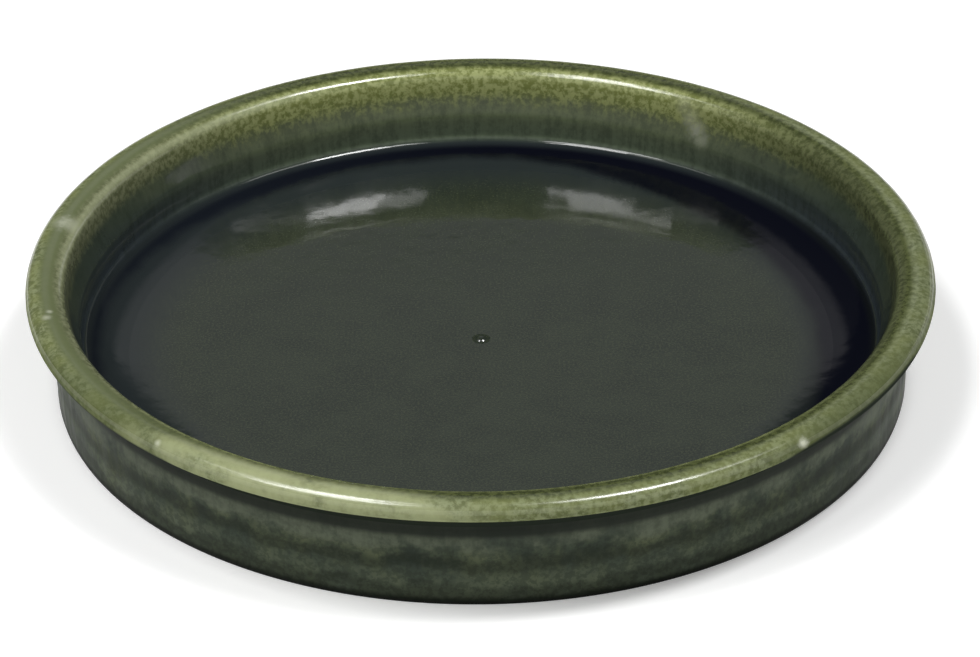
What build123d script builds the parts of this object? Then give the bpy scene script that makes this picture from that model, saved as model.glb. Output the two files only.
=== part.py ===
from build123d import *
import math
import os

# A round plant saucer: one fired stoneware body under separate coats of glaze.
# Sizes are in millimetres. The origin is on the ground at the centre of the foot
# ring, and +Z points up along the saucer's axis.

# Overall sizes, over the glaze
rim_diameter = 200.0
saucer_height = 27.5

# Rolled lip: an oval section, tilted in degrees so that its outer side is higher, how
# far it stands out past the outer wall, and how far the flare of the inner wall runs
# into it
lip_width = 9.2
lip_height = 6.3
lip_tilt = 8.0
lip_overhang = 4.9
lip_overlap = 0.05

# Inner wall: its lean in degrees, the greater lean of the flare under the lip, how far
# below the top the flare starts, and the rounding between the two
wall_lean = 5.5
flare_lean = 24.0
flare_drop = 7.0
flare_radius = 8.0

# How far the outer wall draws in from the lip down to the ground
wall_taper = 1.2

# Clay floor, and the arc that joins the clay floor to the inner face of the wall
floor_thickness = 3.9
clay_cove_radius = 5.0

# Foot ring under the floor
foot_recess = 2.2
foot_ring_width = 9.0
foot_edge_radius = 0.6

# Glaze that ran down and pooled round the edge of the floor: how far in it reaches, how
# far up the wall it stands, and the rounding of the line where it meets the wall
pool_reach = 10.0
pool_rise = 3.6
crease_radius = 1.2

# Glaze coats: the even coat, how far the rim coat runs below the lip, the bare clay
# left at the foot, and the shallow seam where the rim coat and the outer coat meet
glaze_thickness = 0.8
rim_coat_run = 2.0
bare_foot_height = 0.4
seam_width = 1.4
seam_depth = 0.4

# How far a cutting outline runs past what it cuts
overrun = 5.0

# Levels and radii that follow from the sizes above
tilt_angle = math.radians(lip_tilt)
lean_angle = math.radians(wall_lean)
flare_angle = math.radians(flare_lean)
lip_half_width = math.hypot(lip_width / 2 * math.cos(tilt_angle), lip_height / 2 * math.sin(tilt_angle))
lip_half_height = math.hypot(lip_width / 2 * math.sin(tilt_angle), lip_height / 2 * math.cos(tilt_angle))
lip_radius = rim_diameter / 2 - lip_half_width
lip_level = saucer_height - lip_half_height
floor_level = foot_recess + floor_thickness + glaze_thickness
pool_level = floor_level + pool_rise
rim_coat_level = lip_level - lip_half_height - rim_coat_run
flare_level = saucer_height - flare_drop
outer_wall_radius = rim_diameter / 2 - lip_overhang


def lip_touch(coat):
    """Point just inside the lip's oval, where the oval slopes like the flare."""
    half_width = lip_width / 2 - coat
    half_height = lip_height / 2 - coat
    slope_angle = flare_angle + tilt_angle
    reach = math.hypot(half_width * math.cos(slope_angle), half_height * math.sin(slope_angle))
    along = half_width ** 2 * math.cos(slope_angle) / reach
    across = half_height ** 2 * math.sin(slope_angle) / reach
    radius = lip_radius - along * math.cos(tilt_angle) - across * math.sin(tilt_angle) + lip_overlap
    level = lip_level - along * math.sin(tilt_angle) + across * math.cos(tilt_angle)
    return radius, level


def inner_radius(level, coat):
    """Radius of the inner wall at or below the flare, under a coat of the given thickness."""
    touch_radius, touch_level = lip_touch(coat)
    flare_foot_radius = touch_radius - (touch_level - flare_level) * math.tan(flare_angle)
    return flare_foot_radius - (flare_level - level) * math.tan(lean_angle)


def outer_radius(level, coat):
    """Radius of the outer wall at a level, under a coat of the given thickness."""
    drop_share = (lip_level - level) / lip_level
    return outer_wall_radius - wall_taper * drop_share - coat


def mid_wall_radius(level):
    """Radius of a surface that stays inside the clay of the wall."""
    return (inner_radius(level, 0) + outer_radius(level, 0)) / 2


# The top of the pooled glaze is an arc that leaves the floor level and steepens up to
# the line where it meets the wall.
pool_wall_radius = inner_radius(pool_level, 0)
pool_foot_radius = pool_wall_radius - pool_reach
pool_arc_radius = (pool_reach ** 2 + pool_rise ** 2) / (2 * pool_rise)
pool_arc_half_angle = math.asin(pool_reach / pool_arc_radius) / 2


def outline(*points):
    """Closed outline through points given as radius and height."""
    return Polygon(*points, align=None)


def lip_section(coat):
    """Tilted oval of the lip with a coat taken off it."""
    oval = Ellipse(lip_width / 2 - coat, lip_height / 2 - coat)
    return Pos(lip_radius, lip_level) * Rot(0, 0, lip_tilt) * oval


def clay_section():
    """Half section of the clay under the glaze, before its foot is hollowed."""
    floor = floor_level - glaze_thickness
    corner = (inner_radius(floor, glaze_thickness), floor)
    flare_foot = (inner_radius(flare_level, glaze_thickness), flare_level)
    wall_and_floor = outline(
        (0, 0),
        (outer_radius(0, glaze_thickness), 0),
        (outer_radius(lip_level, glaze_thickness), lip_level),
        lip_touch(glaze_thickness),
        flare_foot,
        corner,
        (0, floor),
    )
    section = wall_and_floor + lip_section(glaze_thickness)
    section = fillet(section.vertices().sort_by_distance(flare_foot)[0], flare_radius)
    return fillet(section.vertices().sort_by_distance(corner)[0], clay_cove_radius)


def glazed_section():
    """Half section of the saucer over its glaze, with the pool round the floor."""
    pool_foot = (pool_foot_radius, floor_level)
    pool_top = (pool_wall_radius, pool_level)
    flare_foot = (inner_radius(flare_level, 0), flare_level)
    pool_middle = (
        pool_foot_radius + pool_arc_radius * math.sin(pool_arc_half_angle),
        floor_level + pool_arc_radius * (1 - math.cos(pool_arc_half_angle)),
    )
    pool_arc = ThreePointArc(pool_foot, pool_middle, pool_top)
    wall_and_floor = Polyline(
        pool_top,
        flare_foot,
        lip_touch(0),
        (outer_radius(lip_level, 0), lip_level),
        (outer_radius(0, 0), 0),
        (0, 0),
        (0, floor_level),
        pool_foot,
    )
    section = make_face(pool_arc + wall_and_floor) + lip_section(0)
    section = fillet(section.vertices().sort_by_distance(flare_foot)[0], flare_radius)
    return fillet(section.vertices().sort_by_distance(pool_top)[0], crease_radius)


def turned(section):
    """Solid that a half section sweeps round the saucer's axis."""
    return revolve(Plane.XZ * section, Axis.Z)


def stoneware_body(clay):
    """Clay body with its floor hollowed underneath to leave a foot ring."""
    foot_outer = outer_radius(0, glaze_thickness)
    foot_inner = foot_outer - foot_ring_width
    hollow = outline((0, -overrun), (foot_inner, -overrun), (foot_inner, foot_recess), (0, foot_recess))
    section = clay - hollow
    foot_corners = [
        section.vertices().sort_by_distance((foot_outer, 0))[0],
        section.vertices().sort_by_distance((foot_inner, 0))[0],
    ]
    return turned(fillet(foot_corners, foot_edge_radius))


def floor_glaze(glaze):
    """Flat disc of glaze inside the pool."""
    zone = outline(
        (0, 0),
        (pool_foot_radius, 0),
        (pool_foot_radius, pool_level),
        (0, pool_level),
    )
    return turned(glaze & zone)


def pooled_glaze_ring(glaze):
    """Thick glaze that ran down and filled the corner of the floor."""
    zone = outline(
        (pool_foot_radius, 0),
        (mid_wall_radius(0), 0),
        (mid_wall_radius(pool_level), pool_level),
        (pool_foot_radius, pool_level),
    )
    return turned(glaze & zone)


def inner_wall_glaze(glaze):
    """Even coat on the inner wall, from the pool up to the rim coat."""
    zone = outline(
        (pool_foot_radius, pool_level),
        (mid_wall_radius(pool_level), pool_level),
        (mid_wall_radius(rim_coat_level), rim_coat_level),
        (pool_foot_radius, rim_coat_level),
    )
    return turned(glaze & zone)


def coat_seam():
    """Round-bottomed groove where the rim coat meets the outer coat."""
    seam_radius = (seam_width ** 2 / 4 + seam_depth ** 2) / (2 * seam_depth)
    centre_radius = outer_radius(rim_coat_level, 0) + seam_radius - seam_depth
    return Pos(centre_radius, rim_coat_level) * Circle(seam_radius)


def rim_glaze(glaze):
    """Coat over the lip that runs a little way down both faces of the wall."""
    zone = outline(
        (0, rim_coat_level),
        (rim_diameter / 2 + overrun, rim_coat_level),
        (rim_diameter / 2 + overrun, saucer_height + overrun),
        (0, saucer_height + overrun),
    )
    return turned((glaze & zone) - coat_seam())


def outer_wall_glaze(glaze):
    """Coat on the outer wall, which stops above the bare foot."""
    zone = outline(
        (mid_wall_radius(bare_foot_height), bare_foot_height),
        (rim_diameter / 2 + overrun, bare_foot_height),
        (rim_diameter / 2 + overrun, rim_coat_level),
        (mid_wall_radius(rim_coat_level), rim_coat_level),
    )
    return turned((glaze & zone) - coat_seam())


clay = clay_section()
glaze = glazed_section() - clay

nodes = {
    "stoneware_body": stoneware_body(clay),
    "floor_glaze": floor_glaze(glaze),
    "pooled_glaze_ring": pooled_glaze_ring(glaze),
    "inner_wall_glaze": inner_wall_glaze(glaze),
    "rim_glaze": rim_glaze(glaze),
    "outer_wall_glaze": outer_wall_glaze(glaze),
}

os.makedirs("parts", exist_ok=True)
for name, shape in nodes.items():
    export_step(shape, f"parts/{name}.step")
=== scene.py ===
import math
import random

import bpy
import numpy as np
from mathutils import Matrix, Vector


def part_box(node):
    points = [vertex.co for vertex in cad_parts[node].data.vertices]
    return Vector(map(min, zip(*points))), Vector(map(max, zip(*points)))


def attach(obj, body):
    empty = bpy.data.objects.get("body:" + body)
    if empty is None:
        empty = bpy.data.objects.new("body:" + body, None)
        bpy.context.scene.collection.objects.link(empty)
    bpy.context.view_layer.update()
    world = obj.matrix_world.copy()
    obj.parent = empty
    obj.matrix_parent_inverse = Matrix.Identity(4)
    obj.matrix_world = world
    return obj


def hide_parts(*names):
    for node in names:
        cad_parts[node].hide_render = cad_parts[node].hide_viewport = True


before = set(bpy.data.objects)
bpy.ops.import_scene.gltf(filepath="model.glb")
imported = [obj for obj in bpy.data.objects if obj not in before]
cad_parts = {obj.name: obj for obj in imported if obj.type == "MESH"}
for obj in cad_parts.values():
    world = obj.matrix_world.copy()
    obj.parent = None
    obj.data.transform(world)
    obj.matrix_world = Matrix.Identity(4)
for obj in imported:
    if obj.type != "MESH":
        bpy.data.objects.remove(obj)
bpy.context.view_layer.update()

# A round plant saucer of glazed stoneware that stands on the ground about the Z axis.
# Sizes and places are in metres.

# Sizes read from the frame
rim_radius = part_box("rim_glaze")[1].x
saucer_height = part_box("rim_glaze")[1].z
rim_coat_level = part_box("rim_glaze")[0].z
floor_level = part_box("floor_glaze")[1].z
glaze_thickness = floor_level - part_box("floor_glaze")[0].z
pool_foot_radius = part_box("floor_glaze")[1].x
pool_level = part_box("pooled_glaze_ring")[1].z

# Rolled lip: an oval section with its outer side tilted up. The lower half of the oval is
# shallower and squarer than the upper half, and the dull underside starts a little above
# the middle of the oval. The points of the oval stop at an end turn under its outer side.
lip_width = 0.0092
lip_height = 0.0063
lip_tilt = math.radians(8.0)
lip_overhang = 0.0049
lip_underside_share = 0.64
lip_underside_power = 4.0
lip_turn_rise = 0.0009
lip_end_turn = math.radians(-108.0)

# Inner wall: nearly upright, then a flare between two levels below the top, then a neck
# that runs into the lip
wall_lean = math.radians(1.0)
flare_lean = math.radians(22.0)
neck_lean = math.radians(10.0)
flare_foot_drop = 0.0115
flare_top_drop = 0.0060
flare_round = 0.0009

# How far the outer wall draws in from the lip down to the ground
wall_taper = 0.0006

# Clay under the glaze, and the foot ring turned in it
clay_cove_radius = 0.0050
foot_recess = 0.0022
foot_ring_width = 0.0090
foot_edge_radius = 0.0006

# Shallow seam where the rim coat meets the outer coat, and the rounded lower edge of the glaze
seam_width = 0.0014
seam_depth = 0.0004
glaze_foot_level = 0.0001
glaze_edge_radius = 0.0003

# Floor: how far it sags, where it starts to rise, and the gentle and the steep curve that
# its rise to the wall is made of
floor_sag = 0.0007
pool_start_radius = 0.0640
gentle_power = 2.55
steep_power = 9.0
steep_share = 0.30

# How finely the section and the turned meshes are cut; a ring within the reach of the axis is a
# single point, and edges past the sharp angle stay crisp
ring_steps = 720
skin_step = 0.00025
hidden_step = 0.0020
bend_points = 12
edge_points = 12
cove_points = 20
floor_points = 400
lip_points = 500
axis_reach = 0.000025
sharp_angle = math.radians(40.0)

# How far the glaze softens the corners of its section, and how many times as far that reaches
softening = 0.00055
softening_reach_share = 3

# Levels and radii that follow
lip_half_width = math.hypot(lip_width / 2 * math.cos(lip_tilt), lip_height / 2 * math.sin(lip_tilt))
lip_half_height = math.hypot(lip_width / 2 * math.sin(lip_tilt), lip_height / 2 * math.cos(lip_tilt))
lip_radius = rim_radius - lip_half_width
lip_level = saucer_height - lip_half_height
lip_turn_level = lip_level + lip_turn_rise
flare_foot_level = saucer_height - flare_foot_drop
flare_top_level = saucer_height - flare_top_drop
outer_wall_radius = rim_radius - lip_overhang

quarter_turn = math.pi / 2
full_turn = 2 * math.pi


# Half section of the saucer

def lip_touch(coat):
    """Point of the lip's oval that slopes like the neck of the inner wall."""
    half_width = lip_width / 2 - coat
    half_height = lip_height / 2 - coat
    slope = neck_lean + lip_tilt
    reach = math.hypot(half_width * math.cos(slope), half_height * math.sin(slope))
    along = half_width ** 2 * math.cos(slope) / reach
    across = half_height ** 2 * math.sin(slope) / reach
    radius = lip_radius - along * math.cos(lip_tilt) - across * math.sin(lip_tilt)
    level = lip_level - along * math.sin(lip_tilt) + across * math.cos(lip_tilt)
    return radius, level


def wall_corners(coat):
    """Foot and top of the flare, and the point where the neck runs into the lip."""
    touch_radius, touch_level = lip_touch(coat)
    top_radius = touch_radius - (touch_level - flare_top_level) * math.tan(neck_lean)
    foot_radius = top_radius - (flare_top_level - flare_foot_level) * math.tan(flare_lean)
    return np.array([
        (foot_radius, flare_foot_level),
        (top_radius, flare_top_level),
        (touch_radius, touch_level),
    ])


def inner_radius(level, coat):
    """Radius of the inner wall at a level below the flare, under a coat of the given thickness."""
    return wall_corners(coat)[0][0] - (flare_foot_level - level) * math.tan(wall_lean)


def outer_radius(level, coat):
    """Radius of the outer wall at a level, under a coat of the given thickness."""
    return outer_wall_radius - wall_taper * (lip_level - level) / lip_level - coat


def arc(centre, radius, first, last, count):
    """Points along a circular arc of the section, angles in radians."""
    turn = np.linspace(first, last, count)
    return np.stack([centre[0] + radius * np.cos(turn), centre[1] + radius * np.sin(turn)], 1)


def bend(before, corner, after):
    """Curve that rounds a corner between two straight runs."""
    start = corner + (before - corner) / np.linalg.norm(before - corner) * flare_round
    end = corner + (after - corner) / np.linalg.norm(after - corner) * flare_round
    share = np.linspace(0, 1, bend_points)[:, None]
    return (1 - share) ** 2 * start + 2 * share * (1 - share) * corner + share ** 2 * end


def flared_wall(coat):
    """Upper part of the inner wall, from below the flare up to the lip."""
    foot, top, touch = wall_corners(coat)
    below = np.array([inner_radius(pool_level, coat), pool_level])
    return np.concatenate([bend(below, foot, top), bend(foot, top, touch)])


def lip_oval(coat):
    """Points of the lip's oval that stand clear of the wall, from inside over the top to outside."""
    half_width = lip_width / 2 - coat
    half_height = lip_height / 2 - coat
    slope = neck_lean + lip_tilt
    first_turn = math.atan2(half_height * math.sin(slope), -half_width * math.cos(slope))
    turn = np.linspace(first_turn, lip_end_turn, lip_points)
    under = turn < 0
    power = np.where(under, 2 / lip_underside_power, 1.0)
    depth = np.where(under, half_height * lip_underside_share, half_height)
    along = half_width * np.sign(np.cos(turn)) * np.abs(np.cos(turn)) ** power
    across = depth * np.sign(np.sin(turn)) * np.abs(np.sin(turn)) ** power
    radius = lip_radius + along * math.cos(lip_tilt) - across * math.sin(lip_tilt)
    level = lip_level + along * math.sin(lip_tilt) + across * math.cos(lip_tilt)
    clear = (level > lip_level) | (radius > outer_radius(level, coat))
    return np.stack([radius, level], 1)[clear]


def evenly(points, step):
    """The same run of points, spaced evenly along its length."""
    length = np.concatenate([[0.0], np.cumsum(np.linalg.norm(np.diff(points, axis=0), axis=1))])
    even = np.linspace(0.0, length[-1], math.ceil(length[-1] / step) + 1)
    return np.stack([np.interp(even, length, points[:, 0]), np.interp(even, length, points[:, 1])], 1)


def softened(points, step):
    """The same run of evenly spaced points with its corners rounded off."""
    reach = math.ceil(softening_reach_share * softening / step)
    weight = np.exp(-(np.arange(-reach, reach + 1) * step / softening) ** 2 / 2)
    weight /= weight.sum()
    padded = np.pad(points, ((reach, reach), (0, 0)), "reflect", reflect_type="odd")
    return np.stack([np.convolve(padded[:, axis], weight, "valid") for axis in range(2)], 1)


def floor_height(radius):
    """Height of the glazed floor: level, then a gentle rise that steepens up to the wall."""
    wall_radius = inner_radius(pool_level, 0)
    low_level = floor_level - floor_sag
    share = np.clip((radius - pool_start_radius) / (wall_radius - pool_start_radius), 0, None)
    climb = (1 - steep_share) * share ** gentle_power + steep_share * share ** steep_power
    return low_level + (pool_level - low_level) * climb


def skin_run():
    """Glazed face of the section, from the axis over the lip to the foot."""
    floor_radius = np.linspace(0, inner_radius(pool_level, 0), floor_points)
    floor = np.stack([floor_radius, floor_height(floor_radius)], 1)
    edge_level = glaze_foot_level + glaze_edge_radius
    edge_centre = (outer_radius(edge_level, glaze_edge_radius), edge_level)
    run = evenly(np.concatenate([
        floor,
        flared_wall(0),
        lip_oval(0),
        arc(edge_centre, glaze_edge_radius, 0, -quarter_turn, edge_points),
    ]), skin_step)
    below_lip = np.arange(len(run)) > run[:, 1].argmax()
    seam = 1 - ((run[:, 1] - rim_coat_level) / (seam_width / 2)) ** 2
    run[:, 0] -= seam_depth * np.clip(seam, 0, None) * below_lip
    return softened(run, skin_step)


def clay_run():
    """Clay face under the glaze, from the axis over the lip to the bare foot."""
    floor = floor_level - glaze_thickness - floor_sag
    half_corner = (quarter_turn + wall_lean) / 2
    cove_foot = inner_radius(floor, glaze_thickness) - clay_cove_radius / math.tan(half_corner)
    cove_centre = (cove_foot, floor + clay_cove_radius)
    return evenly(np.concatenate([
        [(0.0, floor)],
        arc(cove_centre, clay_cove_radius, -quarter_turn, -wall_lean, cove_points),
        flared_wall(glaze_thickness),
        lip_oval(glaze_thickness),
        [(outer_radius(foot_edge_radius, glaze_thickness), foot_edge_radius)],
    ]), hidden_step)


def cuts(run):
    """Where along a run the coats meet; the points there are drawn onto the joint itself."""
    falling = np.arange(len(run)) > run[:, 1].argmax()
    joints = [
        (int(np.argmax(run[:, 0] >= pool_foot_radius)), 0, pool_foot_radius),
        (int(np.argmax(run[:, 1] >= pool_level)), 1, pool_level),
        (int(np.argmax(run[:, 1] >= rim_coat_level)), 1, rim_coat_level),
        (int(np.argmax(falling & (run[:, 1] <= lip_turn_level))), 1, lip_turn_level),
        (int(np.argmax(falling & (run[:, 1] <= rim_coat_level))), 1, rim_coat_level),
    ]
    for place, axis, value in joints:
        before = run[place - 1]
        step = run[place] - before
        run[place] = before + step * (value - before[axis]) / step[axis]
    return [0] + [place for place, _, _ in joints] + [len(run) - 1]


def facing(run):
    """Outward direction at each point of a run."""
    ahead = np.gradient(run, axis=0)
    out = np.stack([-ahead[:, 1], ahead[:, 0]], 1)
    return out / np.linalg.norm(out, axis=1, keepdims=True)


skin = skin_run()
skin_out = facing(skin)
skin_cuts = cuts(skin)
clay = clay_run()
clay_cuts = cuts(clay)

# Ripples in a surface: how many waves each is made of, the least and greatest length of a wave
# as shares of the ripple's own, and the limit of the sum
wave_terms = 14
wave_length_shares = (0.7, 1.5)
wave_limit = 1.6

# Relief of the glaze: a broad swell, a fine peel, runs down the walls and rings round the outer
# wall, each with its depth, its length and the seed of its ripple. The surface lies below its
# even level, except at the pip in the middle of the floor, and the relief fades out at the foot.
swell_depth = 0.00004
swell_length = 0.070
swell_seed = 3
peel_depth = 0.000004
peel_length = 0.004
peel_seed = 5
run_depth = 0.00002
run_length = 0.006
run_seed = 8
run_stretch_share = 6.0
ring_depth = 0.00010
ring_pitch = 0.0070
ring_wander_length = 0.09
ring_wander_seed = 12
even_depth = 0.00020
pip_height = 0.00068
pip_radius = 0.0014
pip_power = 4
foot_fade = 0.0014

# Relief of the bare clay: turning lines and grain
line_depth = 0.00004
line_pitch = 0.0017
line_wander_length = 0.05
line_wander_seed = 21
bare_grain_depth = 0.00003
bare_grain_length = 0.006
bare_grain_seed = 22
bare_even_depth = 0.00010


def waves(points, wavelength, seed, stretch_share=1.0):
    """Smooth seeded ripple of about -1 to 1 at each point, stretched along Z."""
    draw = random.Random(seed)
    total = np.zeros(len(points))
    for _ in range(wave_terms):
        turn = draw.uniform(0, full_turn)
        rise = draw.uniform(-1, 1)
        flat = math.sqrt(1 - rise ** 2)
        way = np.array([math.cos(turn) * flat, math.sin(turn) * flat, rise / stretch_share])
        length = wavelength * draw.uniform(*wave_length_shares)
        total += np.cos(points @ way * (full_turn / length) + draw.uniform(0, full_turn))
    return np.clip(total / math.sqrt(wave_terms), -wave_limit, wave_limit)


def glaze_relief(points, normals):
    """How far the glaze stands out from its even surface; below zero except at the pip."""
    upright = 1 - np.abs(normals[:, 2])
    radius = np.hypot(points[:, 0], points[:, 1])
    swell = swell_depth * waves(points, swell_length, swell_seed)
    peel = peel_depth * waves(points, peel_length, peel_seed)
    runs = run_depth * upright * waves(points, run_length, run_seed, run_stretch_share)
    outside = np.clip((radius - lip_radius + lip_half_width / 2) / lip_half_width, 0, 1) * upright
    wander = waves(points, ring_wander_length, ring_wander_seed)
    rings = ring_depth * outside * np.cos(points[:, 2] * full_turn / ring_pitch + wander)
    pip = pip_height * np.exp(-(radius / pip_radius) ** pip_power)
    kept = np.clip(points[:, 2] / foot_fade, 0, 1)
    return kept * (swell + peel + runs + rings + pip - even_depth)


def bare_relief(points, normals):
    """Turning lines in the bare clay, whichever way it faces."""
    radius = np.hypot(points[:, 0], points[:, 1])
    wander = waves(points, line_wander_length, line_wander_seed)
    lines = line_depth * np.cos(radius * full_turn / line_pitch + wander)
    grain = bare_grain_depth * waves(points, bare_grain_length, bare_grain_seed)
    return lines + grain - bare_even_depth


# Turned pieces

def ring_faces(here, there):
    """Faces between two neighbouring rings, each of them a circle of corners or a single point."""
    here_next = np.roll(here, -1)
    there_next = np.roll(there, -1)
    if len(here) > 1 and len(there) > 1:
        return np.stack([here, there, there_next, here_next], 1).tolist()
    if len(here) > 1:
        return [[first, int(there[0]), last] for first, last in zip(here.tolist(), here_next.tolist())]
    if len(there) > 1:
        return [[int(here[0]), first, last] for first, last in zip(there.tolist(), there_next.tolist())]
    return []


def turned(name, outline, directions, shown, relief):
    """Closed mesh from an outline turned round Z; relief moves its shown points along their directions."""
    turn = np.arange(ring_steps) * (full_turn / ring_steps)
    east = np.cos(turn)
    north = np.sin(turn)
    rings = []
    corners = []
    total = 0
    for (radius, level), (out, up), seen in zip(outline, directions, shown):
        count = ring_steps if radius > axis_reach else 1
        points = np.stack([radius * east, radius * north, np.full(ring_steps, level)], 1)[:count]
        normals = np.stack([out * east, out * north, np.full(ring_steps, up)], 1)[:count]
        if seen:
            points = points + normals * relief(points, normals)[:, None]
        rings.append(points)
        corners.append(np.arange(count) + total)
        total += count
    faces = []
    for here, there in zip(corners, corners[1:] + corners[:1]):
        faces += ring_faces(here, there)
    mesh = bpy.data.meshes.new(name)
    mesh.from_pydata(np.concatenate(rings).tolist(), [], faces)
    mesh.polygons.foreach_set("use_smooth", [True] * len(mesh.polygons))
    mesh.set_sharp_from_angle(angle=sharp_angle)
    mesh.update()
    piece = bpy.data.objects.new(name, mesh)
    bpy.context.collection.objects.link(piece)
    return piece


def take_place(piece, node, material):
    """Let a piece stand for a node of the frame, with its material."""
    piece.data.materials.append(material)
    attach(piece, "root")
    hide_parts(node)


def coat(name, number):
    """One coat of glaze: its shown face outside, and the clay's face inside."""
    shown = slice(skin_cuts[number], skin_cuts[number + 1] + 1)
    under = clay[clay_cuts[number]:clay_cuts[number + 1] + 1][::-1]
    outline = np.concatenate([skin[shown], under])
    directions = np.concatenate([skin_out[shown], np.zeros_like(under)])
    seen = [True] * len(skin[shown]) + [False] * len(under)
    return turned(name, outline, directions, seen, glaze_relief)


def clay_body(name):
    """Clay under the glaze, with a turned foot ring and a recessed underside."""
    foot_outer = outer_radius(0, glaze_thickness)
    foot_inner = foot_outer - foot_ring_width
    outer_edge = (foot_outer - foot_edge_radius, foot_edge_radius)
    inner_edge = (foot_inner + foot_edge_radius, foot_edge_radius)
    foot = evenly(np.concatenate([
        [tuple(clay[-1])],
        arc(outer_edge, foot_edge_radius, 0, -quarter_turn, edge_points),
        arc(inner_edge, foot_edge_radius, -quarter_turn, -math.pi, edge_points),
        [(foot_inner, foot_recess), (0.0, foot_recess)],
    ]), skin_step)[1:]
    outline = np.concatenate([clay, foot])
    directions = np.concatenate([np.zeros_like(clay), facing(foot)])
    seen = [False] * len(clay) + [True] * len(foot)
    return turned(name, outline, directions, seen, bare_relief)


# Building blocks of the materials

rising_shares = (0.0, 1.0)
falling_shares = (1.0, 0.0)
flat_shares = (1.0, 1.0, 0.0)

# Curve of the screen values of a colour: their white, and the straight foot and the power above it
screen_white = 255
screen_foot = 0.04045
screen_foot_slope = 12.92
screen_offset = 0.055
screen_power = 2.4


def add(tree, kind, inputs, **settings):
    """New shader node with its settings, and with a value or a link for each input."""
    node = tree.nodes.new("ShaderNode" + kind)
    for key, value in settings.items():
        setattr(node, key, value)
    for key, value in inputs.items():
        if isinstance(value, bpy.types.NodeSocket):
            tree.links.new(value, node.inputs[key])
        else:
            node.inputs[key].default_value = value
    return node


def linear(red, green, blue):
    """Linear colour from screen values of 0 to 255."""
    colour = []
    for value in (red, green, blue):
        share = value / screen_white
        if share <= screen_foot:
            colour.append(share / screen_foot_slope)
        else:
            colour.append(((share + screen_offset) / (1 + screen_offset)) ** screen_power)
    return (*colour, 1.0)


def noise(tree, vector, pattern):
    """Noise of 0 to 1; its pattern is the size of a feature, the detail and the roughness."""
    size, detail, roughness = pattern
    inputs = {"Vector": vector, "Scale": 1 / size, "Detail": detail, "Roughness": roughness}
    return add(tree, "TexNoise", inputs).outputs["Fac"]


def spread(tree, value, band, ends=rising_shares):
    """Smooth step from one end value to the other as the input crosses a band."""
    inputs = {
        "Value": value,
        "From Min": band[0],
        "From Max": band[1],
        "To Min": ends[0],
        "To Max": ends[1],
    }
    return add(tree, "MapRange", inputs, interpolation_type="SMOOTHSTEP").outputs["Result"]


def maths(tree, operation, first, second=0.0):
    """Result of a sum with one or two numbers."""
    return add(tree, "Math", {0: first, 1: second}, operation=operation).outputs["Value"]


def plus(tree, first, second):
    """Sum of two numbers."""
    return maths(tree, "ADD", first, second)


def times(tree, first, second):
    """Product of two numbers."""
    return maths(tree, "MULTIPLY", first, second)


def vector_maths(tree, operation, vectors, output="Value"):
    """Result of a sum with one or two vectors."""
    return add(tree, "VectorMath", dict(enumerate(vectors)), operation=operation).outputs[output]


def blend(tree, share, first, second):
    """Colour between two colours."""
    inputs = {"Factor_Float": share, "A_Color": first, "B_Color": second}
    node = tree.nodes.new("ShaderNodeMix")
    node.data_type = "RGBA"
    for socket in node.inputs:
        value = inputs.get(socket.identifier)
        if isinstance(value, bpy.types.NodeSocket):
            tree.links.new(value, socket)
        elif value is not None:
            socket.default_value = value
    return next(socket for socket in node.outputs if socket.identifier == "Result_Color")


def new_material(name):
    """New material, with its node tree and its shader."""
    material = bpy.data.materials.new(name)
    material.use_nodes = True
    return material, material.node_tree, material.node_tree.nodes["Principled BSDF"]


def object_place(tree):
    """Place of each point on the saucer."""
    return add(tree, "TexCoord", {}).outputs["Object"]


# Patterns of the glaze: size of a feature, detail and roughness
grain_pattern = (0.0005, 2.0, 0.60)
speck_pattern = (0.0013, 4.0, 0.65)
cloud_pattern = (0.0090, 4.0, 0.55)
run_pattern = (0.0020, 4.0, 0.60)
ripple_pattern = (0.0030, 2.0, 0.50)

# Runs are drawn out along Z, and what breaks the glaze up is part runs and part specks
run_squeeze_shares = (1.0, 1.0, 0.16)
run_share = 0.6
speck_share = 0.4

# Where the left and right sides of the saucer begin, along X
left_band = (-0.086, -0.040)
right_band = (0.040, 0.086)

# Gloss of all the glazes
glaze_ior = 1.5
ripple_depth = 0.0006


class Surface:
    """Where each point of a glazed surface lies, and the patterns of the glaze there."""

    def __init__(self, tree):
        self.tree = tree
        self.place = object_place(tree)
        split = add(tree, "SeparateXYZ", {0: self.place}).outputs
        self.east = split["X"]
        self.north = split["Y"]
        self.height = split["Z"]
        flat = vector_maths(tree, "MULTIPLY", (self.place, flat_shares), "Vector")
        self.radius = vector_maths(tree, "LENGTH", (flat,))
        self.left = spread(tree, self.east, left_band, falling_shares)
        self.right = spread(tree, self.east, right_band)
        self.side = maths(tree, "MAXIMUM", self.left, self.right)
        self.grain = noise(tree, self.place, grain_pattern)
        self.speck = noise(tree, self.place, speck_pattern)
        self.cloud = noise(tree, self.place, cloud_pattern)
        tall = add(tree, "Mapping", {"Vector": self.place, "Scale": run_squeeze_shares}).outputs["Vector"]
        runs = noise(tree, tall, run_pattern)
        self.break_up = plus(tree, times(tree, runs, run_share), times(tree, self.speck, speck_share))

    def toward(self, bearing):
        """How far a point lies from the axis toward a bearing, in degrees from X."""
        turn = math.radians(bearing)
        way = (math.cos(turn), math.sin(turn), 0.0)
        return vector_maths(self.tree, "DOT_PRODUCT", (self.place, way))

    def mottled(self, speck_shares, colours):
        """Dark and pale specks of two colours."""
        return blend(self.tree, spread(self.tree, self.speck, speck_shares), *colours)

    def within(self, value, rise_band, fall_band):
        """Share that rises over one band and falls again over the next."""
        risen = spread(self.tree, value, rise_band)
        return times(self.tree, risen, spread(self.tree, value, fall_band, falling_shares))


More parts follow.
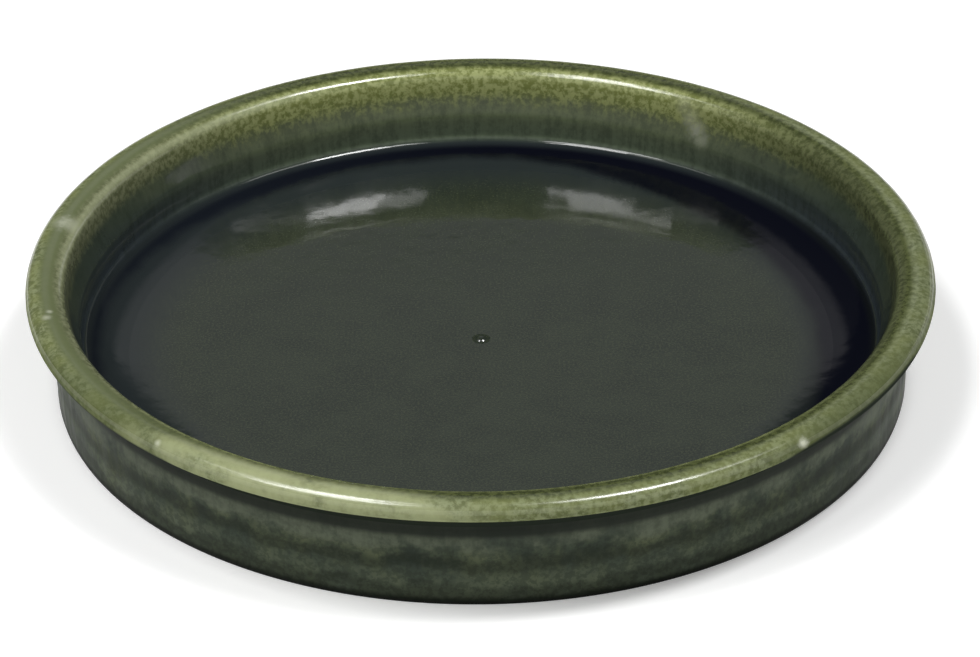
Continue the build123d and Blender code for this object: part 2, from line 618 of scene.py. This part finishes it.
def glaze_finish(at, shader, colour, roughness, sheen, ripple_share):
    """Join a colour, a roughness and a slight ripple to a shader that mirrors by its sheen."""
    tree = at.tree
    tree.links.new(colour, shader.inputs["Base Color"])
    tree.links.new(roughness, shader.inputs["Roughness"])
    shader.inputs["IOR"].default_value = glaze_ior
    shader.inputs["Specular IOR Level"].default_value = sheen
    ripple = {
        "Height": noise(tree, at.place, ripple_pattern),
        "Strength": ripple_share,
        "Distance": ripple_depth,
    }
    tree.links.new(add(tree, "Bump", ripple).outputs["Normal"], shader.inputs["Normal"])


# Inner wall: its colours at foot and top, behind and at the sides, and its dark runs. The paler colours
# behind are painted light, the paler foot behind most of all, and the darker, greyer colours at the sides
# are painted shade
back_wall_lit_foot = linear(90, 102, 82)
back_wall_lit_top = linear(88, 96, 68)
side_wall_shaded_foot = linear(58, 66, 72)
side_wall_shaded_top = linear(56, 65, 54)
wall_run_dark = linear(38, 46, 36)
wall_top_level = 0.0200
wall_band = (pool_level, wall_top_level)
wall_run_shares = (0.60, 0.35)
wall_run_strength_shares = (0.0, 0.45)


def wall_colour(at):
    """Green of the inner wall with dark runs, painted light behind and painted shade at the sides, where
    it is darker and greyer.
    """
    tree = at.tree
    risen = spread(tree, at.height, wall_band)
    back = blend(tree, risen, back_wall_lit_foot, back_wall_lit_top)
    sides = blend(tree, risen, side_wall_shaded_foot, side_wall_shaded_top)
    runs = spread(tree, at.break_up, wall_run_shares, wall_run_strength_shares)
    return blend(tree, runs, blend(tree, at.side, back, sides), wall_run_dark)


# Flare and inner side of the lip: pairs of olive colours that mottle together. The paler pairs behind are
# painted light, the darker pair at the sides is painted shade, and the paler pair on the left of the lip
# is a painted highlight
back_flare_lit_olives = (linear(71, 79, 42), linear(113, 120, 72))
side_shaded_olives = (linear(64, 70, 44), linear(88, 94, 64))
back_lip_lit_olives = (linear(118, 126, 70), linear(158, 165, 110))
left_lip_highlight_olives = (linear(94, 99, 70), linear(128, 133, 102))
crisp_speck_shares = (0.40, 0.60)
soft_speck_shares = (0.36, 0.64)


def flare_colour(at):
    """Mottled olive of the flare, with painted light behind and painted shade at the sides."""
    back = at.mottled(crisp_speck_shares, back_flare_lit_olives)
    return blend(at.tree, at.side, back, at.mottled(soft_speck_shares, side_shaded_olives))


def inner_lip_colour(at):
    """Mottled olive of the inner side of the lip: palest at the back with painted light, darker on the
    right with painted shade, and paler on the left with a painted highlight.
    """
    back = at.mottled(crisp_speck_shares, back_lip_lit_olives)
    back_and_right = blend(at.tree, at.right, back, at.mottled(soft_speck_shares, side_shaded_olives))
    return blend(at.tree, at.left, back_and_right, at.mottled(soft_speck_shares, left_lip_highlight_olives))


# Crest of the lip: its dark olive is painted shade, and its paler olive on the left is a painted highlight
crest_shade_olives = (linear(56, 63, 34), linear(82, 89, 52))
left_crest_highlight = linear(102, 110, 77)
left_crest_highlight_share = 0.9


def crest_colour(at):
    """Painted shade in dark olive along the top of the lip, with a painted highlight that makes it paler
    on the left.
    """
    crest = at.mottled(crisp_speck_shares, crest_shade_olives)
    return blend(at.tree, times(at.tree, at.left, left_crest_highlight_share), crest, left_crest_highlight)


# Outer side of the lip: its olives, its clouds, and the darker right side and front corners
outer_lip_olives = (linear(97, 104, 69), linear(137, 145, 109))
outer_cloud_olive = linear(127, 134, 78)
outer_right_olive = linear(78, 86, 60)
corner_olive = linear(78, 86, 54)
outer_speck_shares = (0.38, 0.62)
outer_cloud_shares = (0.35, 0.65)
outer_cloud_strength_shares = (0.0, 0.5)
outer_right_share = 0.3
corner_share = 0.55
corner_aside_share = 0.80
corner_forward_share = 0.60
corner_band = (0.0930, 0.0985)


def corner_part(at):
    """Where the two front corners of the lip are, to the left and to the right."""
    tree = at.tree
    aside = times(tree, maths(tree, "ABSOLUTE", at.east), corner_aside_share)
    toward_corner = maths(tree, "SUBTRACT", aside, times(tree, at.north, corner_forward_share))
    return spread(tree, toward_corner, corner_band)


def outer_lip_colour(at, corner):
    """Mottled olive of the outer side of the lip."""
    tree = at.tree
    olive = at.mottled(outer_speck_shares, outer_lip_olives)
    clouds = spread(tree, at.cloud, outer_cloud_shares, outer_cloud_strength_shares)
    olive = blend(tree, clouds, olive, outer_cloud_olive)
    olive = blend(tree, times(tree, at.right, outer_right_share), olive, outer_right_olive)
    return blend(tree, times(tree, corner, corner_share), olive, corner_olive)


# Where the colours of the lip give way to one another: the olive starts up the wall where the
# glaze breaks up, and the sides have less of it, as painted shade; then come the lip, its crest and its
# outer side
olive_rise_band = (0.0150, 0.0250)
side_olive_share = -0.30
olive_break_share = 1.4
olive_start_shares = (0.90, 1.50)
lip_band = (0.0196, 0.0240)
crest_band = (0.0926, 0.0942)
outside_band = (0.0956, 0.0978)
right_shift = 0.0020

# Pale part of the lip at the front left, pale glaze with a painted highlight, and the thin pale line
# on its inner side at the back left, a painted highlight
pale_glaze_and_highlight = linear(172, 178, 136)
pale_bearing = 246
pale_way_band = (0.0885, 0.0960)
pale_cloud_shares = (0.25, 0.60)
pale_radius_band = (0.0925, 0.0965)
pale_strength_shares = (0.0, 0.7)
thin_highlight_paint = linear(168, 174, 138)
thin_bearing = 150
thin_way_band = (0.068, 0.085)
thin_strength_shares = (0.0, 0.50)
thin_rise_band = (0.0910, 0.0919)
thin_fall_band = (0.0922, 0.0932)


def outside_part(at):
    """Where the outer side of the lip begins, a little further in on the right."""
    shifted = plus(at.tree, at.radius, times(at.tree, at.right, right_shift))
    return spread(at.tree, shifted, outside_band)


def pale_part(at):
    """Clouded pale part of the lip: pale glaze with a painted highlight."""
    tree = at.tree
    there = spread(tree, at.toward(pale_bearing), pale_way_band)
    clouded = times(tree, there, spread(tree, at.cloud, pale_cloud_shares))
    return times(tree, clouded, spread(tree, at.radius, pale_radius_band, pale_strength_shares))


def thin_highlight_part(at):
    """Thin pale line of painted highlight along the inner side of the lip."""
    there = spread(at.tree, at.toward(thin_bearing), thin_way_band, thin_strength_shares)
    return times(at.tree, at.within(at.radius, thin_rise_band, thin_fall_band), there)


def wall_and_lip_colour(at, outside, corner):
    """Green wall, then olive up the flare and over the lip, with their painted light, shade and
    highlights.
    """
    tree = at.tree
    drawn_up = times(tree, at.side, side_olive_share)
    risen = plus(tree, spread(tree, at.height, olive_rise_band), drawn_up)
    olive_level = plus(tree, risen, times(tree, at.break_up, olive_break_share))
    colour = blend(tree, spread(tree, olive_level, olive_start_shares), wall_colour(at), flare_colour(at))
    colour = blend(tree, spread(tree, at.height, lip_band), colour, inner_lip_colour(at))
    colour = blend(tree, spread(tree, at.radius, crest_band), colour, crest_colour(at))
    colour = blend(tree, outside, colour, outer_lip_colour(at, corner))
    colour = blend(tree, pale_part(at), colour, pale_glaze_and_highlight)
    return blend(tree, thin_highlight_part(at), colour, thin_highlight_paint)


# Painted shade under the lip, where the glaze is also dull, which reaches higher on the front corners
under_lip_shade = linear(38, 44, 36)
corner_rise_span = (0.0015, 0.0025)
under_lip_band = (0.0220, 0.0230)
beyond_band = (0.0925, 0.0940)
below_lip_band = (0.0218, 0.0224)


def shaded_part(at, outside, corner):
    """Where the glaze under the lip is dull and its colour is painted shade."""
    tree = at.tree
    rise = spread(tree, at.right, rising_shares, corner_rise_span)
    corner_height = maths(tree, "SUBTRACT", at.height, times(tree, corner, rise))
    under_lip = times(tree, outside, spread(tree, corner_height, under_lip_band, falling_shares))
    beyond = spread(tree, at.radius, beyond_band)
    below_lip = times(tree, beyond, spread(tree, at.height, below_lip_band, falling_shares))
    return maths(tree, "MAXIMUM", under_lip, below_lip)


# Floor: dark green clouds with an olive grain, bluer toward the edge, and darker at the sides,
# most of all on the right
floor_dark = linear(33, 40, 34)
floor_light = linear(41, 48, 40)
floor_grain_olive = linear(60, 66, 50)
floor_rim_green = linear(36, 42, 43)
floor_side_dark = linear(12, 16, 18)
floor_cloud_shares = (0.30, 0.70)
floor_grain_shares = (0.40, 0.72)
floor_grain_strength_shares = (0.0, 0.70)
floor_rim_band = (0.066, 0.080)
floor_across_band = (-0.040, 0.040)
floor_side_shares = (0.15, 0.95)
floor_side_band = (0.070, 0.077)


def floor_colour(at):
    """Dark green of the floor."""
    tree = at.tree
    green = blend(tree, spread(tree, at.cloud, floor_cloud_shares), floor_dark, floor_light)
    grain = spread(tree, at.grain, floor_grain_shares, floor_grain_strength_shares)
    green = blend(tree, grain, green, floor_grain_olive)
    green = blend(tree, spread(tree, at.radius, floor_rim_band), green, floor_rim_green)
    sides = times(tree, at.side, spread(tree, at.east, floor_across_band, floor_side_shares))
    edge = times(tree, sides, spread(tree, at.radius, floor_side_band))
    return blend(tree, edge, green, floor_side_dark)


# Pooled glaze: navy, wider and deeper toward one bearing and narrower on the other side
pool_shallow = linear(16, 21, 28)
pool_deep = linear(4, 6, 17)
deep_bearing = 18
deep_band = (-0.060, 0.040)
pool_wide_band = (0.030, 0.078)
pool_wide_span = (0.0, 0.0075)
pool_narrow_band = (-0.078, -0.030)
pool_narrow_span = (-0.0022, 0.0)
pool_waver = 0.003
pool_edge_band = (0.0822, 0.0860)
pool_fade_drop = 0.0018
pool_end_drop = 0.0008
pool_top_band = (pool_level - pool_fade_drop, pool_level - pool_end_drop)
bowl_fade_drop = 0.0010
bowl_end_rise = 0.0004
bowl_top_band = (pool_level - bowl_fade_drop, pool_level + bowl_end_rise)


def pool_part(at, way):
    """Where the glaze pooled: between a wavering edge on the floor and the crease at the wall."""
    tree = at.tree
    widened = spread(tree, way, pool_wide_band, pool_wide_span)
    narrowed = spread(tree, way, pool_narrow_band, pool_narrow_span)
    wavering = plus(tree, narrowed, times(tree, at.cloud, pool_waver))
    edge = plus(tree, at.radius, plus(tree, widened, wavering))
    below_crease = spread(tree, at.height, pool_top_band, falling_shares)
    return times(tree, spread(tree, edge, pool_edge_band), below_crease)


def bowl_colour(at, above):
    """Floor and pooled glaze, below the colour of the wall above them."""
    tree = at.tree
    way = at.toward(deep_bearing)
    in_bowl = spread(tree, at.height, bowl_top_band, falling_shares)
    colour = blend(tree, in_bowl, above, floor_colour(at))
    navy = blend(tree, spread(tree, way, deep_band), pool_shallow, pool_deep)
    return blend(tree, pool_part(at, way), colour, navy)


# Pale spots and streaks on the glaze: angle in degrees, radius, height, size and
# strength; and the shares of a spot's size at which it is whole, has gone, and wavers
pale_spots = [
    (169.2, 0.0943, 0.0273, 0.0032, 0.38),
    (194.6, 0.0962, 0.0274, 0.0011, 0.40),
    (193.2, 0.0952, 0.0274, 0.0008, 0.40),
    (228.2, 0.0989, 0.0266, 0.0008, 0.60),
    (310.9, 0.0997, 0.0258, 0.0013, 1.00),
    (57.4, 0.0911, 0.0238, 0.0022, 0.18),
    (56.0, 0.0904, 0.0220, 0.0026, 0.23),
    (54.7, 0.0896, 0.0198, 0.0026, 0.25),
    (53.6, 0.0888, 0.0178, 0.0022, 0.18),
]
spot_glaze = linear(214, 217, 196)
spot_whole_share = 0.7
spot_gone_share = 2.2
spot_waver_share = 1.5


def spot_part(at):
    """Where the pale spots are, with uneven edges."""
    tree = at.tree
    total = None
    for angle, radius, height, size, strength in pale_spots:
        turn = math.radians(angle)
        centre = (radius * math.cos(turn), radius * math.sin(turn), height)
        away = vector_maths(tree, "DISTANCE", (at.place, centre))
        uneven = plus(tree, away, times(tree, at.speck, size * spot_waver_share))
        edge_band = (size * spot_whole_share, size * spot_gone_share)
        share = spread(tree, uneven, edge_band, (strength, 0.0))
        total = share if total is None else maths(tree, "MAXIMUM", total, share)
    return total


# Roughness of the inner glaze: clouded gloss, drier on top of the lip, and dull under it
gloss_cloud_shares = (0.3, 0.7)
gloss_shares = (0.06, 0.11)
dry_band = (0.0242, 0.0258)
dry_cloud_shares = (0.2, 0.8)
dry_shares = (0.06, 0.12)
dull_rise = 0.0012
dull_band = (lip_turn_level, lip_turn_level + dull_rise)
dull_shares = (0.85, 0.0)
inner_ripple_share = 0.03


def inner_roughness(at, outside, shaded):
    """Roughness of the glaze inside and over the lip."""
    tree = at.tree
    dry_clouds = spread(tree, at.cloud, dry_cloud_shares, dry_shares)
    dry = times(tree, spread(tree, at.height, dry_band), dry_clouds)
    gloss = plus(tree, spread(tree, at.cloud, gloss_cloud_shares, gloss_shares), dry)
    dull = times(tree, outside, spread(tree, at.height, dull_band, dull_shares))
    return maths(tree, "MAXIMUM", gloss, maths(tree, "MAXIMUM", shaded, dull))


def inner_glaze(name, sheen):
    """Glaze inside and over the lip: olive where it breaks on the lip, navy where it pools."""
    material, tree, shader = new_material(name)
    at = Surface(tree)
    outside = outside_part(at)
    corner = corner_part(at)
    shaded = shaded_part(at, outside, corner)
    # Painted shade under the lip over the colour of the wall and the lip
    colour = blend(tree, shaded, wall_and_lip_colour(at, outside, corner), under_lip_shade)
    colour = bowl_colour(at, colour)
    colour = blend(tree, spot_part(at), colour, spot_glaze)
    roughness = inner_roughness(at, outside, shaded)
    glaze_finish(at, shader, colour, roughness, sheen, inner_ripple_share)
    return material


# Outer wall: clouded green with olive patches and dark specks; painted light makes it paler low down and
# makes a broken pale band, and painted shade makes soft dark rings and darkens it under the lip and at the
# foot
outer_dark = linear(52, 61, 53)
outer_light = linear(82, 91, 73)
outer_patch_olive = linear(90, 96, 68)
outer_low_painted_light = linear(92, 101, 84)
outer_speck_dark = linear(44, 51, 40)
outer_ring_shade = linear(32, 38, 28)
outer_band_painted_light = linear(104, 111, 95)
outer_under_lip_shade = linear(36, 41, 35)
outer_foot_shade = linear(10, 14, 10)
outer_green_shares = (0.30, 0.70)
patch_mix_share = 0.6
patch_shares = (0.50, 0.85)
patch_strength_shares = (0.0, 0.7)
outer_low_band = (0.0030, 0.0110)
outer_low_strength_shares = (0.55, 0.0)
dark_speck_shares = (0.42, 0.58)
dark_speck_strength_shares = (0.45, 0.0)
ring_cloud_shares = (0.2, 0.8)
ring_waver_span = (-0.0012, 0.0022)
ring_shares = (-1.0, 0.8)
ring_strength_shares = (0.55, 0.0)
pale_ring_band = (0.0130, 0.0154)
pale_ring_cloud_shares = (0.3, 0.6)
pale_ring_cloud_strength_shares = (0.3, 1.0)
pale_ring_break_shares = (0.36, 0.66)
pale_ring_break_strength_shares = (0.40, 0.80)
outer_top_band = (0.0158, 0.0174)
outer_top_strength_shares = (0.0, 0.9)
outer_foot_band = (0.0006, 0.0026)
outer_foot_strength_shares = (0.95, 0.0)
outer_break_shares = (0.3, 0.7)
outer_roughness_shares = (0.34, 0.55)
outer_sheen = 0.06
outer_ripple_share = 0.08


def mottled_green(at):
    """Clouded green of the outer wall with its olive patches and dark specks, paler low down with painted
    light.
    """
    tree = at.tree
    green = blend(tree, spread(tree, at.cloud, outer_green_shares), outer_dark, outer_light)
    patch = plus(tree, times(tree, at.cloud, patch_mix_share), times(tree, at.break_up, patch_mix_share))
    patches = spread(tree, patch, patch_shares, patch_strength_shares)
    colour = blend(tree, patches, green, outer_patch_olive)
    low = spread(tree, at.height, outer_low_band, outer_low_strength_shares)
    colour = blend(tree, low, colour, outer_low_painted_light)
    specks = spread(tree, at.speck, dark_speck_shares, dark_speck_strength_shares)
    return blend(tree, specks, colour, outer_speck_dark)


def ringed(at, colour):
    """Painted shade in soft dark rings that follow the relief, and painted light in a broken pale band
    near the top.
    """
    tree = at.tree
    wavering = plus(tree, at.height, spread(tree, at.cloud, ring_cloud_shares, ring_waver_span))
    ring = maths(tree, "COSINE", times(tree, wavering, full_turn / ring_pitch))
    colour = blend(tree, spread(tree, ring, ring_shares, ring_strength_shares), colour, outer_ring_shade)
    clouds = spread(tree, at.cloud, pale_ring_cloud_shares, pale_ring_cloud_strength_shares)
    breaks = spread(tree, at.break_up, pale_ring_break_shares, pale_ring_break_strength_shares)
    pale_ring = times(tree, spread(tree, wavering, pale_ring_band), times(tree, clouds, breaks))
    return blend(tree, pale_ring, colour, outer_band_painted_light)


def outer_glaze(name):
    """Glaze of the outer wall, with painted shade under the lip and at the foot."""
    material, tree, shader = new_material(name)
    at = Surface(tree)
    colour = ringed(at, mottled_green(at))
    # Painted shade under the lip and at the foot
    top = spread(tree, at.height, outer_top_band, outer_top_strength_shares)
    colour = blend(tree, top, colour, outer_under_lip_shade)
    foot = spread(tree, at.height, outer_foot_band, outer_foot_strength_shares)
    colour = blend(tree, foot, colour, outer_foot_shade)
    roughness = spread(tree, at.break_up, outer_break_shares, outer_roughness_shares)
    glaze_finish(at, shader, colour, roughness, outer_sheen, outer_ripple_share)
    return material


# Bare clay: its grain, its clouds and its dark flecks
clay_grain_pattern = (0.0005, 5.0, 0.70)
clay_cloud_pattern = (0.0120, 3.0, 0.50)
clay_fleck_pattern = (0.0011, 2.0, 0.60)
clay_dark = linear(74, 60, 48)
clay_light = linear(120, 102, 82)
clay_cloud_brown = linear(92, 80, 66)
clay_fleck_dark = linear(38, 32, 27)
clay_grain_shares = (0.3, 0.7)
clay_cloud_shares = (0.35, 0.65)
clay_cloud_strength_shares = (0.0, 0.5)
clay_fleck_shares = (0.66, 0.70)
clay_roughness = 0.85
clay_bump_share = 0.35
clay_bump_depth = 0.0002


def clay_material(name):
    """Bare fired clay: warm grey-brown with dark and pale grains."""
    material, tree, shader = new_material(name)
    place = object_place(tree)
    grain = noise(tree, place, clay_grain_pattern)
    cloud = noise(tree, place, clay_cloud_pattern)
    fleck = noise(tree, place, clay_fleck_pattern)
    colour = blend(tree, spread(tree, grain, clay_grain_shares), clay_dark, clay_light)
    clouds = spread(tree, cloud, clay_cloud_shares, clay_cloud_strength_shares)
    colour = blend(tree, clouds, colour, clay_cloud_brown)
    colour = blend(tree, spread(tree, fleck, clay_fleck_shares), colour, clay_fleck_dark)
    tree.links.new(colour, shader.inputs["Base Color"])
    shader.inputs["Roughness"].default_value = clay_roughness
    bump = add(tree, "Bump", {"Height": grain, "Strength": clay_bump_share, "Distance": clay_bump_depth})
    tree.links.new(bump.outputs["Normal"], shader.inputs["Normal"])
    return material


# How strongly each part of the inner glaze mirrors its surroundings
floor_sheen = 0.5
pool_sheen = 0.35
rim_sheen = 0.7
underside_sheen = 0.08

clay_finish = clay_material("bare_stoneware")
floor_finish = inner_glaze("dark_green_glaze", floor_sheen)
pool_finish = inner_glaze("pooled_navy_glaze", pool_sheen)
wall_finish = inner_glaze("dark_green_wall_glaze", rim_sheen)
rim_finish = inner_glaze("olive_rim_glaze", rim_sheen)
underside_finish = inner_glaze("olive_underside_glaze", underside_sheen)
outer_finish = outer_glaze("dark_green_outer_glaze")

# Coats in the order in which the section runs through them, from the axis to the foot
coats = [
    ("floor_coat", "floor_glaze", "dark_green_glaze", floor_finish),
    ("pool_coat", "pooled_glaze_ring", "pooled_navy_glaze", pool_finish),
    ("inner_wall_coat", "inner_wall_glaze", "dark_green_glaze", wall_finish),
    ("rim_coat", "rim_glaze", "olive_rim_glaze", rim_finish),
    ("lip_underside_coat", "rim_glaze", "olive_rim_glaze", underside_finish),
    ("outer_wall_coat", "outer_wall_glaze", "dark_green_glaze", outer_finish),
]

take_place(clay_body("clay_body"), "stoneware_body", clay_finish)
for coat_number, (coat_name, node, slot, finish) in enumerate(coats):
    take_place(coat(coat_name, coat_number), node, finish)

# Studio floor: half its width, its colour, and how much it glows where it is seen or mirrored
white = (1.0, 1.0, 1.0, 1.0)
studio_floor_half = 3.0
studio_floor_colour = (0.97, 0.97, 0.97, 1.0)
studio_floor_glow = 0.20


def studio_floor():
    """Wide pale floor under the saucer, which keeps the saucer's shadow."""
    corner_signs = [(-1, -1), (1, -1), (1, 1), (-1, 1)]
    corners = [(x * studio_floor_half, y * studio_floor_half, 0) for x, y in corner_signs]
    mesh = bpy.data.meshes.new("studio_floor")
    mesh.from_pydata(corners, [], [(0, 1, 2, 3)])
    floor = bpy.data.objects.new("studio_floor", mesh)
    bpy.context.collection.objects.link(floor)
    material, tree, shader = new_material("pale_floor")
    shader.inputs["Base Color"].default_value = studio_floor_colour
    shader.inputs["Roughness"].default_value = 1.0
    shader.inputs["Specular IOR Level"].default_value = 0.0
    shader.inputs["Emission Color"].default_value = white
    path = add(tree, "LightPath", {}).outputs
    mirrored = plus(tree, path["Is Glossy Ray"], path["Is Transmission Ray"])
    seen = plus(tree, path["Is Camera Ray"], mirrored)
    tree.links.new(times(tree, seen, studio_floor_glow), shader.inputs["Emission Strength"])
    mesh.materials.append(material)


# Long soft lamps, all hung at one height: the near end and the far end in X and Y, width and power
lamp_height = 0.95
lamps = {
    "left_lamp": ((-0.22, -0.15), (-0.38, -0.04), 0.20, 2.2),
    "left_far_lamp": ((-0.38, -0.04), (-0.64, 0.14), 0.14, 0.35),
    "left_front_lamp": ((-0.24, -0.40), (-0.62, -0.14), 0.24, 3.8),
    "right_near_lamp": ((0.165, -0.17), (0.25, -0.111), 0.14, 0.55),
    "right_lamp": ((0.25, -0.111), (0.42, 0.006), 0.16, 3.6),
    "right_far_lamp": ((0.42, 0.006), (0.64, 0.157), 0.12, 0.45),
}


def strip_lamp(name, near_place, far_place, width, power):
    """Lamp from a near end to a far end, turned to face the saucer."""
    near = Vector((*near_place, lamp_height))
    far = Vector((*far_place, lamp_height))
    lamp = bpy.data.lights.new(name, "AREA")
    lamp.shape = "RECTANGLE"
    lamp.size = (far - near).length
    lamp.size_y = width
    lamp.energy = power
    middle = (near + far) / 2
    along = (far - near).normalized()
    away = middle - Vector((0, 0, lip_level))
    away = (away - along * away.dot(along)).normalized()
    turn = Matrix((along, away.cross(along), away)).transposed()
    holder = bpy.data.objects.new(name, lamp)
    holder.matrix_world = Matrix.Translation(middle) @ turn.to_4x4()
    bpy.context.collection.objects.link(holder)


# Brightness of the room: low down and in the middle behind the saucer, low down and higher up in
# front of it, overhead, and of two pale strips low behind the saucer to the right and the left
room_low = 0.03
room_middle = 0.29
room_front_low = 0.10
room_front = 0.55
room_overhead = 0.07
right_strip = 0.75
left_strip = 0.08

# Where those parts of the room begin and end, as shares of a unit length along X, Y and Z
middle_side_shares = (0.09, 0.17)
middle_rise_shares = (0.460, 0.484)
front_rise_shares = (0.10, 0.50)
front_to_back_shares = (-0.25, 0.15)
overhead_shares = (0.62, 0.88)
strip_foot_shares = (0.05, 0.10)
strip_top_shares = (0.16, 0.21)
strip_side_shares = (0.32, 0.42)


def room_walls(tree, split, back):
    """Brightness of the room round the saucer, in front of it and behind it."""
    off_middle = maths(tree, "ABSOLUTE", split["X"])
    middle = spread(tree, off_middle, middle_side_shares, (room_middle, room_low))
    risen = spread(tree, split["Z"], middle_rise_shares)
    behind = plus(tree, times(tree, risen, middle), room_low)
    in_front = spread(tree, split["Z"], front_rise_shares, (room_front_low, room_front))
    front = maths(tree, "SUBTRACT", 1.0, back)
    return plus(tree, times(tree, front, in_front), times(tree, back, behind))


def pale_strips(tree, split, back):
    """Brightness of the two pale strips low behind the saucer."""
    foot = spread(tree, split["Z"], strip_foot_shares)
    strip = times(tree, foot, spread(tree, split["Z"], strip_top_shares, falling_shares))
    strip = times(tree, strip, back)
    right = spread(tree, split["X"], strip_side_shares, (0.0, right_strip))
    leftward = times(tree, split["X"], -1.0)
    left = spread(tree, leftward, strip_side_shares, (0.0, left_strip))
    return times(tree, strip, plus(tree, right, left))


def surroundings():
    """Soft grey room: dim low down, paler above that, dim overhead, with a pale strip on each side."""
    world = bpy.data.worlds.new("surroundings")
    world.use_nodes = True
    tree = world.node_tree
    way = add(tree, "TexCoord", {}).outputs["Generated"]
    split = add(tree, "SeparateXYZ", {0: way}).outputs
    back = spread(tree, split["Y"], front_to_back_shares)
    above = spread(tree, split["Z"], overhead_shares)
    below = maths(tree, "SUBTRACT", 1.0, above)
    walls = times(tree, room_walls(tree, split, back), below)
    lit = plus(tree, walls, times(tree, above, room_overhead))
    lit = plus(tree, lit, pale_strips(tree, split, back))
    background = tree.nodes["Background"]
    background.inputs["Color"].default_value = white
    tree.links.new(lit, background.inputs["Strength"])
    bpy.context.scene.world = world


# Camera: the picture's size and the pixel of the point it aims at, its focal length in pixels,
# and where it stands
photo_width = 980
photo_height = 657
aim_pixel = (480.3, 267.7)
focal_pixels = 3628.0
sensor_width = 36.0
camera_distance = 0.8
camera_target = Vector((0, 0, 0.02435))
camera_elevation = math.radians(29.82)
camera_roll = math.radians(0.69)


def photo_camera():
    """Camera that sees the middle of the lip at its pixel in the photograph."""
    back = Vector((0, -math.cos(camera_elevation), math.sin(camera_elevation)))
    across = Vector((1, 0, 0))
    upward = back.cross(across)
    right = math.cos(camera_roll) * across - math.sin(camera_roll) * upward
    up = math.sin(camera_roll) * across + math.cos(camera_roll) * upward
    offset_right = (aim_pixel[0] - photo_width / 2) / focal_pixels
    offset_up = (photo_height / 2 - aim_pixel[1]) / focal_pixels
    behind = (back + right * offset_right + up * offset_up).normalized()
    right = (right - behind * right.dot(behind)).normalized()
    turn = Matrix((right, behind.cross(right), behind)).transposed()
    camera = bpy.data.cameras.new("photo_camera")
    camera.sensor_fit = "HORIZONTAL"
    camera.sensor_width = sensor_width
    camera.lens = focal_pixels / photo_width * sensor_width
    holder = bpy.data.objects.new("photo_camera", camera)
    holder.matrix_world = Matrix.Translation(camera_target + back * camera_distance) @ turn.to_4x4()
    bpy.context.collection.objects.link(holder)
    bpy.context.scene.camera = holder


studio_floor()
for lamp_name, lamp_values in lamps.items():
    strip_lamp(lamp_name, *lamp_values)
surroundings()
photo_camera()
bpy.context.scene.view_settings.view_transform = "Standard"
